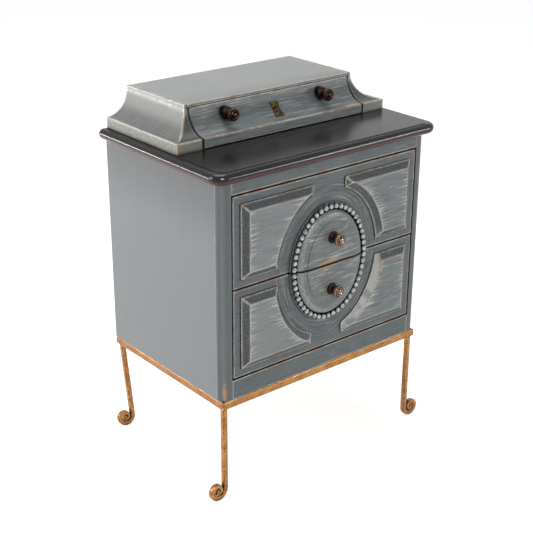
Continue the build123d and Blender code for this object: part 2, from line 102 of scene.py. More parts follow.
# %% Camera
camera_place = Vector((-1.5336, -1.8380, 1.4209))
camera_target = Vector((0.0006, 0.0222, 0.3989))
camera_roll = math.radians(0.3)
camera_data = bpy.data.cameras.new("camera")
camera_data.sensor_width = 36.0
camera_data.lens = 78.17
camera = bpy.data.objects.new("camera", camera_data)
bpy.context.scene.collection.objects.link(camera)
look = (camera_target - camera_place).to_track_quat("-Z", "Y").to_matrix().to_4x4()
camera.matrix_world = Matrix.Translation(camera_place) @ look @ Matrix.Rotation(camera_roll, 4, "Z")
bpy.context.scene.camera = camera
print("camera distance:", round((camera_target - camera_place).length, 3), "m")

# %% [markdown]
# ## Studio
# The photograph is a catalogue picture on white. The floor is white too, and takes a
# faint shadow under the feet. A white world seen by the camera and in reflections stands
# in for the paper sweep. Soft lamps give the light: a wide one from behind on the left
# for the side, two small ones in front for the glints on the beads and the mouldings,
# and one above. Two long narrow ones stand low behind and beside the object, where the
# rolled edge of the board mirrors them, and draw its bright line. A square one in front
# puts the sparkle on the beads and on the curved slopes that face up to the left. These
# three are seen in the gloss alone and add no fill, so the colours stay as written.
#
# White could also come from strong lamps, but they would wash out the paint. So the
# white of floor and world is shown only to the rays that look at them, straight or by
# way of gloss, and what falls on the object is left alone.

# %% Which rays see the white
def seen_white(tree):
    """1 for rays that look at the backdrop: from the camera, off gloss or through glass."""
    path = add(tree, "ShaderNodeLightPath")
    seen, gloss, glass = (path.outputs[f"Is {kind} Ray"] for kind in ("Camera", "Glossy", "Transmission"))
    seen = add(tree, "ShaderNodeMath", {0: seen, 1: gloss}, operation="MAXIMUM")
    return add(tree, "ShaderNodeMath", {0: seen, 1: glass}, operation="MAXIMUM")


# %% Floor
def white_floor():
    """A white floor that looks paper white to the camera and still takes a shadow."""
    material, tree, _ = new_material("studio paper")
    paper = add(tree, "ShaderNodeBsdfDiffuse", {"Color": colour("f4f4f4")})
    lift = add(tree, "ShaderNodeEmission", {"Color": (1, 1, 1, 1), "Strength": 0.72})
    lifted = add(tree, "ShaderNodeAddShader", {0: paper, 1: lift})
    both = add(tree, "ShaderNodeMixShader", {0: seen_white(tree), 1: paper, 2: lifted})
    add(tree, "ShaderNodeOutputMaterial", {0: both})
    bm = bmesh.new()
    bmesh.ops.create_grid(bm, x_segments=1, y_segments=1, size=8.0)
    mesh = bpy.data.meshes.new("studio_floor")
    bm.to_mesh(mesh)
    bm.free()
    mesh.materials.append(material)
    floor = bpy.data.objects.new("studio_floor", mesh)
    bpy.context.scene.collection.objects.link(floor)


white_floor()


# %% World
def white_world(light):
    """A world that lights at one level and is seen as plain white."""
    world = bpy.data.worlds.new("studio")
    bpy.context.scene.world = world
    world.use_nodes = True
    tree = world.node_tree
    tree.nodes.clear()
    glow = add(tree, "ShaderNodeBackground", {0: (1, 1, 1, 1), 1: light})
    plain = add(tree, "ShaderNodeBackground", {0: (1, 1, 1, 1), 1: 1.0})
    both = add(tree, "ShaderNodeMixShader", {0: seen_white(tree), 1: glow, 2: plain})
    add(tree, "ShaderNodeOutputWorld", {0: both})


white_world(0.25)
bpy.context.scene.view_settings.view_transform = "Standard"
print("view transform:", bpy.context.scene.view_settings.view_transform)


# %% Lamps
def soft_lamp(name, place, target, width, height, watts, only_gloss=False):
    """A rectangular soft box that faces a target. One that is only gloss adds no fill."""
    data = bpy.data.lights.new(name, "AREA")
    data.shape = "RECTANGLE"
    data.size, data.size_y, data.energy = width, height, watts
    lamp = bpy.data.objects.new(name, data)
    bpy.context.scene.collection.objects.link(lamp)
    turn = (Vector(target) - Vector(place)).to_track_quat("-Z", "Y").to_matrix().to_4x4()
    lamp.matrix_world = Matrix.Translation(place) @ turn
    lamp.visible_diffuse = not only_gloss


soft_lamp("left box", (-3.0, 1.2, 1.7), (0, 0, 0.5), 1.2, 2.0, 69)
soft_lamp("front box", (-0.8, -3.3, 1.9), (0, 0, 0.5), 0.5, 0.6, 10)
soft_lamp("right box", (2.4, -2.9, 0.9), (0, 0, 0.5), 0.4, 0.7, 12)
soft_lamp("top box", (0.1, 0.5, 3.0), (0, 0, 0.5), 1.8, 1.4, 38)
soft_lamp("left strip", (-1.9, 2.1, 0.55), (0, 0, 0.7), 1.1, 0.16, 26, only_gloss=True)
soft_lamp("right strip", (1.76, -2.24, 1.00), (0, 0, 0.7), 1.3, 0.14, 22, only_gloss=True)
soft_lamp("sparkle box", (-1.0, -2.4, 2.1), (0, 0, 0.5), 0.6, 0.6, 60, only_gloss=True)
print("lamps:", len(bpy.data.lights))

# %% [markdown]
# ## Layers of paint
# Old paint is a stack of thin coats, each of which shows in its own places. So a finish
# is built the same way: a ground tone, and then layers, each with a tone and one or more
# masks that say where it shows. The masks below are recipes made of a few nodes:
# marks of a real size, the strip beside an arris, the occlusion in a corner, which lays dirt
# and painted shade, a soft level along an axis, an egg-shaped spot, and the way out from
# the middle of the ovals.

# %% Laying coats
def coats(tree, ground, *layers):
    """Lays layers over a ground. Each is a tone and the masks whose product shows it."""
    for tone, *masks in layers:
        cover = masks[0]
        for mask in masks[1:]:
            cover = add(tree, "ShaderNodeMath", {0: cover, 1: mask}, operation="MULTIPLY")
        under, over = (colour(t) if isinstance(t, str) else t for t in (ground, tone))
        ground = add(tree, "ShaderNodeMix", {0: cover, 6: under, 7: over}, data_type="RGBA")
    return ground


def marks(tree, place, size, low, high, shift=(0, 0, 0), detail=3.0):
    """Marks of a size in millimetres along x, y and z, kept where the noise is high."""
    stretch = add(tree, "ShaderNodeMapping", {"Vector": place, "Location": shift,
                                              "Scale": [1000 / length for length in size]})
    noise = add(tree, "ShaderNodeTexNoise",
                {"Vector": stretch, "Scale": 1.0, "Detail": detail, "Roughness": 0.6})
    return add(tree, "ShaderNodeMapRange", {0: noise, 1: low, 2: high}, interpolation_type="SMOOTHSTEP")


# %% Arrises and corners
def arris(tree, reach, low=0.006, high=0.05, samples=8):
    """1 beside an arris, fading to 0 at `reach` metres from it."""
    true = add(tree, "ShaderNodeNewGeometry").outputs["True Normal"]
    rounded = add(tree, "ShaderNodeBevel", {"Radius": reach}, samples=samples)
    agree = add(tree, "ShaderNodeVectorMath", {0: rounded, 1: true}, operation="DOT_PRODUCT")
    return add(tree, "ShaderNodeMapRange", {0: agree, 1: 1 - low, 2: 1 - high},
               interpolation_type="SMOOTHSTEP")


# The corner mask is ambient occlusion, so the darkening laid with it is painted shade.
def corner(tree, reach, low=0.85, high=0.35):
    """1 deep in a corner or a gap, 0 in the open. `reach` is how far it feels."""
    air = add(tree, "ShaderNodeAmbientOcclusion", {"Distance": reach}, samples=8).outputs["AO"]
    return add(tree, "ShaderNodeMapRange", {0: air, 1: low, 2: high}, interpolation_type="SMOOTHSTEP")


# %% Places on the object
def level(tree, vector, axis, low, high):
    """0 below `low` and 1 above `high` along an axis, or the other way round."""
    along = add(tree, "ShaderNodeSeparateXYZ", {0: vector}).outputs[axis]
    return add(tree, "ShaderNodeMapRange", {0: along, 1: low, 2: high}, interpolation_type="SMOOTHSTEP")


def spot(tree, place, centre, reach):
    """1 in the middle of an egg-shaped spot, 0 outside it. Both are in millimetres."""
    way = add(tree, "ShaderNodeVectorMath", {0: place, 1: [c * MM for c in centre]},
              operation="SUBTRACT")
    way = add(tree, "ShaderNodeVectorMath", {0: way, 1: [r * MM for r in reach]}, operation="DIVIDE")
    way = add(tree, "ShaderNodeVectorMath", {0: way}, operation="LENGTH")
    return add(tree, "ShaderNodeMapRange", {0: way, 1: 1.0, 2: 0.55}, interpolation_type="SMOOTHSTEP")


def way_out(tree, place, wide, tall):
    """How far out a point lies from the middle of the ovals: 1 on an oval of this size."""
    centred = add(tree, "ShaderNodeVectorMath", {0: place, 1: (0, 0, split_z)}, operation="SUBTRACT")
    shrunk = add(tree, "ShaderNodeVectorMath", {0: centred, 1: (1 / wide, 0, 1 / tall)},
                 operation="MULTIPLY")
    return add(tree, "ShaderNodeVectorMath", {0: shrunk}, operation="LENGTH")


def unsigned_normal(tree, kind):
    """The way a face looks, without signs, as the three outputs X, Y and Z."""
    normal = add(tree, "ShaderNodeNewGeometry").outputs[kind]
    unsigned = add(tree, "ShaderNodeVectorMath", {0: normal}, operation="ABSOLUTE")
    return add(tree, "ShaderNodeSeparateXYZ", {0: unsigned}).outputs


def sideways(tree, place):
    """How far a point lies to the left or the right of the middle, in metres."""
    return add(tree, "ShaderNodeMath", {0: add(tree, "ShaderNodeSeparateXYZ", {0: place}).outputs["X"]},
               operation="ABSOLUTE")


def facing(tree, axis, low, high):
    """0 where a face looks one way along an axis, 1 where it looks the other way."""
    return level(tree, add(tree, "ShaderNodeNewGeometry").outputs["True Normal"], axis, low, high)


# %% [markdown]
# ## Chalk paint, dry-brushed and waxed
# The case is cabinet wood under grey-blue chalk paint, put on with a bristle brush and
# waxed. The eye sees fine strokes along the length of each board, soft mottling where the
# wax lies thicker, cream dry-brush marks that start at raised edges, and warm bare wood
# where the arrises are rubbed through. The corners and the gaps are darkened with dark wax
# and painted shade.
# Real bristles leave lines 1 mm apart, which the picture can't show, so the strokes are
# drawn about 3 mm apart and 40 mm long.

# %% Sizes the finishes share
split_z = (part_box("upper_drawer_front")[0].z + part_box("lower_drawer_front")[1].z) / 2
box_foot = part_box("chest_end_left")[0].z
STROKE, BAND, RUN = 3.2, 11.0, 42.0         # a stroke's width, a band's width, a stroke's length, mm
BOSS_OVAL = (0.106, 0.1315)                 # half width and half height of the oval boss, m
SLOPE_OVAL = (0.1535, 0.1805)               # the same for the top of the panels' curved slopes, m
FIELD_END = (0.178, 0.218)                  # where the panels' outer ends begin to be brushed, m
# Dark wax with painted shade for the corners, and painted shade for the gaps.
WAX_AND_SHADE_DARK, GAP_SHADE_BLACK = "0a0c0e", "060708"
print("split at", round(split_z, 4), "m, foot of the coved box at", round(box_foot, 4), "m")


def stroke(cross, across, along):
    """A mark's size: thin along the axes that the strokes cross, long on the others."""
    return [across if axis in cross else along for axis in "xyz"]


# %% The plain coat
def chalk_coat(tree, place, cross, dark, light):
    """Strokes, bands and mottling between two close tones. Also gives the fine strokes."""
    fine = marks(tree, place, stroke(cross, STROKE, RUN), 0.32, 0.68)
    paint = coats(tree, dark,
                  (light, marks(tree, place, (70, 70, 70), 0.35, 0.65, detail=4.0), 0.55),
                  (light, marks(tree, place, stroke(cross, BAND, 250), 0.35, 0.65, (3, 1, 2)), 0.45),
                  (light, fine, 0.45))
    return paint, fine


def wear_and_shade(tree, place, paint, cream=0.9, bare=0.4, gap=0.0, spots=(), reach=0.0042, dirt_and_shade=0.92):
    """Cream and bare wood along the arrises, dark wax and painted shade in the corners and the gaps.

    `gap` is a near-black line of painted shade on the arris itself, `reach` how far the wear
    goes past it, and `dirt_and_shade` how open a corner may be and still take dark wax and
    painted shade. `spots` are rubbed to the wood.
    """
    crumbs = marks(tree, place, (2.6, 2.6, 2.6), 0.28, 0.46, detail=2.0)
    patches = marks(tree, place, (45, 45, 45), 0.64 - 0.3 * bare, 0.69 - 0.3 * bare, (7, 5, 3))
    ragged = marks(tree, place, stroke("z", 3.2, RUN), 0.36, 0.50, (1, 4, 9), 2.0)
    beside = arris(tree, reach + gap, 0.004, 0.026)
    paint = coats(tree, paint, ("ebe8de", beside, crumbs, cream),
                  ("c9976a", beside, patches, crumbs, 0.85))
    for centre, size in spots:
        paint = coats(tree, paint, ("caa078", spot(tree, place, centre, size), ragged))
    # The near-black gap line is painted shade. The dark in the corners is dark wax and painted shade.
    if gap:
        paint = coats(tree, paint, (GAP_SHADE_BLACK, arris(tree, gap, 0.004, 0.015)))
    return coats(tree, paint, (WAX_AND_SHADE_DARK, corner(tree, 0.010, dirt_and_shade, 0.45)))


def waxed(tree, paint, fine, gloss, relief=0.25, softness=0.0016):
    """Waxed paint: satin, with the strokes as a shallow relief and softened arrises."""
    soft = add(tree, "ShaderNodeBevel", {"Radius": softness}, samples=6)
    bump = add(tree, "ShaderNodeBump",
               {"Strength": relief, "Distance": 0.0006, "Height": fine, "Normal": soft})
    rough = add(tree, "ShaderNodeMapRange", {0: fine, 1: 0.0, 2: 1.0, 3: gloss - 0.04, 4: gloss + 0.05})
    shader = add(tree, "ShaderNodeBsdfPrincipled",
                 {"Base Color": paint, "Roughness": rough, "Normal": bump, "IOR": 1.42})
    add(tree, "ShaderNodeOutputMaterial", {0: shader})


# %% [markdown]
# ## Paint on the flat fronts
# The drawer fronts and the rails are brushed from side to side, but round the ovals the
# brush followed the curve. There the strokes are laid in rings: the noise reads how far
# out a point lies and its angle round the middle, in place of its height and its width.
# A painted picture could do this too, but it would blur close up and would have to be
# drawn again for each new size.

# %% Fronts and rails
def front_paint(name, bare_spots):
    material, tree, place = new_material(name)
    paint, fine = chalk_coat(tree, place, "z", "5f676a", "777f81")
    out = way_out(tree, place, *BOSS_OVAL)
    centred = add(tree, "ShaderNodeSeparateXYZ", {
        0: add(tree, "ShaderNodeVectorMath", {0: place, 1: (0, 0, split_z)}, operation="SUBTRACT")})
    angle = add(tree, "ShaderNodeMath", {0: centred.outputs["X"], 1: centred.outputs["Z"]},
                operation="ARCTAN2")
    rings = add(tree, "ShaderNodeCombineXYZ", {0: out, 1: angle})
    ring_strokes = marks(tree, rings, (28, 450, 1), 0.34, 0.66)
    ring_light = marks(tree, rings, (24, 700, 1), 0.57, 0.66, (5, 2, 0), 2.0)
    near = add(tree, "ShaderNodeMapRange", {0: out, 1: 1.42, 2: 1.30}, interpolation_type="SMOOTHSTEP")
    rings_paint = coats(tree, "596164", ("7c8486", ring_strokes, 0.9), ("b4b7b0", ring_light, 0.75))
    dashes = marks(tree, place, stroke("z", 2.6, 60), 0.60, 0.70, (1, 4, 9), 2.0)
    in_places = marks(tree, place, (90, 90, 60), 0.46, 0.6, (7, 5, 3))
    paint = coats(tree, paint, ("b0b3ac", dashes, in_places, 0.8), (rings_paint, near))
    scuffs = marks(tree, place, stroke("z", 2.8, 70), 0.56, 0.68, (8, 2, 2), 3.0)
    paint = coats(tree, paint, ("3f474b", scuffs, 0.6))
    waxed(tree, wear_and_shade(tree, place, paint, 0.9, 0.52, gap=0.0018, spots=bare_spots), fine, 0.42)
    return material


# Rubbed places, each with its centre and its reach along x, y and z, in millimetres.
rail_rub = [((-120, -180, 282), (60, 8, 4)), ((120, -180, 676), (70, 8, 3)),
            ((40, -180, 236), (60, 8, 4))]
paint_front = front_paint("chalk paint on the fronts", rail_rub)
print("rubbed places on the rails:", len(rail_rub))

# %% [markdown]
# ## Paint on the posts and the sides
# The sides are calm: long upright strokes in nearly one tone, darker towards the top as a
# painted shadow of the board above. The front posts are rounded, and get a painted
# highlight as a pale band along the round, with a band of painted shade behind it where
# the post meets the side. The feet of the posts are knocked through to the wood.

# %% Posts and sides
def post_paint():
    material, tree, place = new_material("chalk paint on the posts")
    paint, fine = chalk_coat(tree, place, "xy", "666d70", "777e80")
    # A painted highlight as a pale band along the round of the post, and painted shade where it turns to
    # the side.
    turned = unsigned_normal(tree, "Normal")["X"]
    painted_highlight_band = add(tree, "ShaderNodeMapRange", {0: turned, 1: 0.25, 2: 0.50}, interpolation_type="SMOOTHSTEP")
    faded = add(tree, "ShaderNodeMapRange", {0: turned, 1: 0.86, 2: 0.66}, interpolation_type="SMOOTHSTEP")
    dark = add(tree, "ShaderNodeMapRange", {0: turned, 1: 0.80, 2: 0.93}, interpolation_type="SMOOTHSTEP")
    paint = coats(tree, paint, ("7d8487", painted_highlight_band, faded, 0.8), ("54595c", dark, 0.75))
    rub = [((-272, -172, 256), (4.5, 14, 30)), ((270, -172, 300), (5, 12, 18))]
    waxed(tree, wear_and_shade(tree, place, paint, 0.15, 0.1, spots=rub), fine, 0.34)
    return material


def side_paint():
    material, tree, place = new_material("chalk paint on the sides")
    paint, fine = chalk_coat(tree, place, "y", "7f8284", "848789")
    # Darker towards the top: painted shadow of the board above.
    shade = level(tree, place, "Z", 0.54, 0.72)
    paint = coats(tree, paint, ("646667", shade, 0.95))
    waxed(tree, wear_and_shade(tree, place, paint, 0.15, 0.1), fine, 0.38)
    return material


paint_post, paint_side = post_paint(), side_paint()
print("post and side:", paint_post.name, "/", paint_side.name)

# %% [markdown]
# ## Paint on the raised panels
# A brush dragged over raised work hits the field's ends and edges first, so the cream
# marks are thick beside them and thin out towards the middle. The slopes were left dark
# and speckled, apart from the curved one at the lower right, which gets a silver-grey
# painted highlight. Where the slopes are is read from the way the faces look, so one
# material covers a whole panel and no face has to be picked by hand.

# %% Raised panels
def panel_paint():
    material, tree, place = new_material("chalk paint on the raised panels")
    paint, fine = chalk_coat(tree, place, "z", "757d7f", "91989a")
    marks_fine = marks(tree, place, stroke("z", 2.8, 44), 0.0, 1.0, (1, 4, 9), 4.0)
    end = add(tree, "ShaderNodeMapRange", {0: sideways(tree, place), 1: FIELD_END[0], 2: FIELD_END[1]})
    out = way_out(tree, place, *SLOPE_OVAL)
    curve = add(tree, "ShaderNodeMapRange", {0: out, 1: 1.20, 2: 1.02})
    dense = add(tree, "ShaderNodeMath", {0: end, 1: curve}, operation="MAXIMUM")
    dense = add(tree, "ShaderNodeMath", {0: dense, 1: 0.27, 2: marks_fine}, operation="MULTIPLY_ADD")
    brushed = add(tree, "ShaderNodeMapRange", {0: dense, 1: 0.70, 2: 0.98},
                  interpolation_type="SMOOTHSTEP")
    stray = marks(tree, place, stroke("z", 2.6, 60), 0.54, 0.66, (4, 2, 6), 3.0)
    scuffs = marks(tree, place, stroke("z", 3.0, 60), 0.52, 0.66, (8, 2, 2), 3.0)
    left_light = level(tree, place, "X", 0.02, -0.05)
    field = coats(tree, paint, ("5a6265", scuffs, 0.6), ("b4babb", left_light, 0.32),
                  ("a8aca8", stray, 0.7), ("e2e0d5", brushed, 0.9))
    crumbs = marks(tree, place, (3, 3, 3), 0.50, 0.68, detail=2.0)
    slope = coats(tree, "4b5357", ("767e82", crumbs, 0.9))
    on_curve = add(tree, "ShaderNodeMapRange", {0: out, 1: 1.0, 2: 0.985})
    clouds = marks(tree, place, (30, 30, 30), 0.32, 0.56, detail=1.0)
    # A silver-grey painted highlight on the curved slope at the lower right.
    painted_silver_highlight = coats(tree, "a3aaad", ("e6e6e1", clouds, 0.9))
    on_right = level(tree, place, "X", 0.0, 0.01)
    low_down = level(tree, place, "Z", split_z + 0.06, split_z - 0.03)
    slope = coats(tree, slope, (painted_silver_highlight, on_curve, on_right, low_down, 0.9))
    paint = coats(tree, slope, (field, facing(tree, "Y", -0.93, -0.985)))
    waxed(tree, wear_and_shade(tree, place, paint, 1.0, 0.34, reach=0.0065), fine, 0.34)
    return material


paint_panel = panel_paint()

# %% [markdown]
# ## Paint on the oval
# The oval boss has a dark foot of dark wax and painted shade, a silvery rounded band with a
# painted highlight on its left, and a field that is brushed from side to side. The middle,
# where hands open the drawers, is rubbed to the wood along the split. The split is drawn a
# little darker and wider than its gap, as painted shade.

# %% Oval boss
def oval_paint():
    material, tree, place = new_material("chalk paint on the oval")
    paint, fine = chalk_coat(tree, place, "z", "6c7475", "8c9292")
    streaks = marks(tree, place, stroke("z", 2.8, 46), 0.50, 0.66, (1, 4, 9), 4.0)
    heart = marks(tree, place, (60, 60, 40), 0.42, 0.58, (2, 7, 1))
    field = coats(tree, paint, ("b4b5ae", streaks, 0.45), ("dad8cd", streaks, heart, 0.85))
    crumbs = marks(tree, place, (3, 3, 3), 0.44, 0.62, detail=2.0)
    band = coats(tree, "788083", ("a9aeac", crumbs, 0.5))
    # The band's left part gets a silvery painted highlight.
    painted_silver_highlight = level(tree, place, "X", 0.04, -0.06)
    band = coats(tree, band, ("b9bdbc", painted_silver_highlight, 0.35), ("cccfcd", painted_silver_highlight, crumbs, 0.6))
    paint = coats(tree, band, (field, facing(tree, "Y", -0.96, -0.995)))
    rub = [((0, -196, 484), (46, 12, 6)), ((-16, -196, 474), (34, 12, 5))]
    paint = wear_and_shade(tree, place, paint, 0.0, 0.0, spots=rub, dirt_and_shade=0.72)
    # Near black along the split: painted shade of the gap.
    split_line = spot(tree, place, (0, -190, split_z / MM), (180, 90, 3.6))
    paint = coats(tree, paint, (GAP_SHADE_BLACK, split_line))
    waxed(tree, paint, fine, 0.34, softness=0.006)
    return material


paint_oval = oval_paint()

# %% [markdown]
# ## Paint on the coved box
# The ends are waxed hollow mouldings. The middle of the hollow gets a silvery painted sheen,
# its brow is painted shade, and it is darker towards its foot. Their strokes run down the
# hollow, and the narrow part that turns the corner to the front is the darkest. The drawer
# between them is dark too, with short pale streaks along its length, most of them high up
# and on the plinth. Levels along z place all of these, because the box stands straight.

# %% Painted shade in the joint at the ends of the coved drawer
joint_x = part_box("chest_drawer_front")[1].x + 0.9 * MM
PLINTH_EDGE = (box_foot + 0.0225, box_foot + 0.0215)


def end_joint_shade(tree, place):
    """1 along the joint between the coved drawer and the ends of its box, where painted shade goes."""
    across = sideways(tree, place)
    away = add(tree, "ShaderNodeMath", {0: across, 1: joint_x, 2: 0.0012}, operation="COMPARE")
    near = add(tree, "ShaderNodeMath", {0: across, 1: joint_x, 2: 0.0034}, operation="COMPARE")
    return add(tree, "ShaderNodeMath", {0: away, 1: near}, operation="MAXIMUM")


# %% Coved box
def cove_paint():
    material, tree, place = new_material("chalk paint on the coved ends")
    paint, fine = chalk_coat(tree, place, "y", "787a77", "858683")
    # A painted sheen in the middle of the hollow, painted shade on its brow, and darker towards its foot.
    painted_sheen = level(tree, place, "Z", box_foot + 0.036, box_foot + 0.056)
    painted_brow_shade = level(tree, place, "Z", box_foot + 0.060, box_foot + 0.076)
    foot = level(tree, place, "Z", box_foot + 0.054, box_foot + 0.022)
    crumbs = marks(tree, place, (4, 4, 4), 0.46, 0.64, detail=3.0)
    hairs = marks(tree, place, stroke("y", 2.6, 60), 0.50, 0.66, (4, 4, 4), 3.0)
    paint = coats(tree, paint, ("4c5150", foot, 0.75), ("a3a5a1", painted_sheen, 0.6), ("646764", painted_brow_shade, 0.75),
                  ("b9b9b0", hairs, 0.14))
    plinth = level(tree, place, "Z", *PLINTH_EDGE)
    paint = coats(tree, paint, ("8b8c84", plinth, 0.8), ("c4c3b6", plinth, crumbs, 0.45))
    front_part = facing(tree, "Y", -0.02, -0.10)
    upright = marks(tree, place, (3, 3, 60), 0.40, 0.62, (2, 3, 4))
    paint = coats(tree, paint, ("2f3435", front_part, 0.92), ("6a6f6d", front_part, upright, 0.6),
                  ("b0b1a6", front_part, plinth, 0.85))
    paint = coats(tree, wear_and_shade(tree, place, paint, 0.95, 0.30, gap=0.0010, reach=0.0055),
                  (GAP_SHADE_BLACK, end_joint_shade(tree, place)))
    waxed(tree, paint, fine, 0.32, 0.1)
    return material


def box_paint():
    material, tree, place = new_material("chalk paint on the coved drawer")
    paint, fine = chalk_coat(tree, place, "z", "565d60", "6f7678")
    dashes = marks(tree, place, stroke("z", 2.4, 70), 0.52, 0.68, (1, 4, 9), 4.0)
    high = level(tree, place, "Z", box_foot + 0.030, box_foot + 0.070)
    plinth = level(tree, place, "Z", *PLINTH_EDGE)
    scuffs = marks(tree, place, stroke("z", 2.6, 70), 0.54, 0.66, (8, 2, 2), 3.0)
    paint = coats(tree, paint, ("c6c8c0", dashes, high, 0.9), ("b9bbb3", dashes, 0.45),
                  ("8b9395", plinth, 0.75), ("3c4346", scuffs, 0.6))
    rub = [((190, -44, 755), (26, 10, 4)), ((-170, 43, 807), (24, 12, 3)),
           ((-208, -30, 752), (14, 16, 3))]
    paint = coats(tree, wear_and_shade(tree, place, paint, 0.95, 0.40, gap=0.0010, spots=rub, reach=0.005),
                  (GAP_SHADE_BLACK, end_joint_shade(tree, place)))
    waxed(tree, paint, fine, 0.40)
    return material


def cap_paint():
    material, tree, place = new_material("chalk paint on the box's top")
    paint, fine = chalk_coat(tree, place, "y", "818482", "8a8d8b")
    front_shade = level(tree, place, "Y", 0.075, 0.01)
    bands = marks(tree, place, (300, 40, 40), 0.35, 0.65)
    paint = coats(tree, paint, ("707573", front_shade, bands, 0.8))
    waxed(tree, wear_and_shade(tree, place, paint, 0.85, 0.3), fine, 0.36)
    return material


paint_cove, paint_box, paint_cap = cove_paint(), box_paint(), cap_paint()
print("paints:", len([m for m in bpy.data.materials if "chalk" in m.name]))

# %% [markdown]
# ## Lacquer of the top board
# The board is stained nearly black, with red-brown showing through where the lacquer
# wears thin under the roll. A satin coat gives it broad grey reflections. The step round
# the field has a thin grey line that is a painted highlight, and its corners are near black
# with painted shade. A clear coat over a dark base would need two sets of gloss to be
# matched. One shader with a low IOR does, because the eye sees only one reflection.

# %% Ebony lacquer
def ebony_lacquer():
    material, tree, place = new_material("satin ebony lacquer on beech")
    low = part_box("top_board")[0].z
    grain = marks(tree, place, (160, 3, 3), 0.35, 0.75, detail=5.0)
    worn = level(tree, place, "Z", low + 0.0120, low + 0.0075)
    on_top = level(tree, place, "Z", low + 0.0215, low + 0.0225)
    # The grey line on the step's arris is a painted highlight; the near black in the corners is painted
    # shade.
    stain = coats(tree, "060404", ("100b0b", grain), ("541410", worn, 0.95),
                  ("4d4846", arris(tree, 0.002, 0.004, 0.03), on_top),
                  ("020101", corner(tree, 0.004, 0.95, 0.3)))
    cloud = marks(tree, place, (140, 140, 140), 0.3, 0.7)
    rough = add(tree, "ShaderNodeMapRange", {0: cloud, 3: 0.19, 4: 0.25})
    relief = add(tree, "ShaderNodeBump", {"Strength": 0.06, "Distance": 0.0003, "Height": grain})
    shader = add(tree, "ShaderNodeBsdfPrincipled",
                 {"Base Color": stain, "Roughness": rough, "Normal": relief, "IOR": 1.40})
    add(tree, "ShaderNodeOutputMaterial", {0: shader})
    return material


lacquer = ebony_lacquer()
print("board:", lacquer.name)

# %% [markdown]
# ## Bare wood inside
# Pine or poplar, planed but not painted. Drawer pieces are a little paler than the rough
# bearers in the case. The grain runs along each piece's length: year rings some 9 mm
# apart, and fibres that are drawn 2 mm apart so that they show. Object coordinates are
# the same for every piece, so the grain is turned by choosing another axis to stretch.

# %% Bare wood
def bare_wood(name, along, dark, light):
    """Planed softwood with its grain along an axis."""
    material, tree, place = new_material(name)
    cross = "xyz".replace(along, "")
    rings = marks(tree, place, stroke(cross, 9, 420), 0.38, 0.66, detail=3.0)
    fibres = marks(tree, place, stroke(cross, 2, 90), 0.35, 0.70, (5, 5, 5), 4.0)
    pores = marks(tree, place, stroke(cross, 1.6, 22), 0.62, 0.72, (9, 1, 4), 2.0)
    # The darker brown in the corners is painted shade.
    wood = coats(tree, light, (dark, rings, 0.45), (dark, fibres, 0.45), ("6b4c30", pores, 0.35),
                 ("5d442e", corner(tree, 0.02, 0.95, 0.3), 0.9))
    relief = add(tree, "ShaderNodeBump", {"Strength": 0.15, "Distance": 0.0004, "Height": fibres})
    shader = add(tree, "ShaderNodeBsdfPrincipled",
                 {"Base Color": wood, "Roughness": 0.62, "Normal": relief, "IOR": 1.45})
    add(tree, "ShaderNodeOutputMaterial", {0: shader})
    return material


# The backs, bottoms and sides inside aren't in the photograph, so plain wood is a guess.
drawer_wood_x = bare_wood("planed poplar, grain along x", "x", "a98862", "cbb08a")
drawer_wood_y = bare_wood("planed poplar, grain along y", "y", "a98862", "cbb08a")
case_wood_x = bare_wood("sawn pine, grain along x", "x", "8a6a47", "ab8a63")
case_wood_y = bare_wood("sawn pine, grain along y", "y", "8a6a47", "ab8a63")
case_wood_z = bare_wood("sawn pine, grain along z", "z", "8a6a47", "ab8a63")
print("bare woods:", len([m for m in bpy.data.materials if "grain along" in m.name]))

# %% [markdown]
# ## Antique gold on iron
# The stand is square iron bar, primed red-brown, painted gold and rubbed back. Gold paint
# is flakes of brass in a clear binder, so it is partly metallic and rather rough. Brown
# shows in streaks and along the corners. Darker brown where bars meet is painted shade, the
# bars' lighter top edge is a painted highlight, and their brown foot edge and their browner
# faces to the left are painted shade. A fully metallic shader would mirror the white room
# and look like foil.

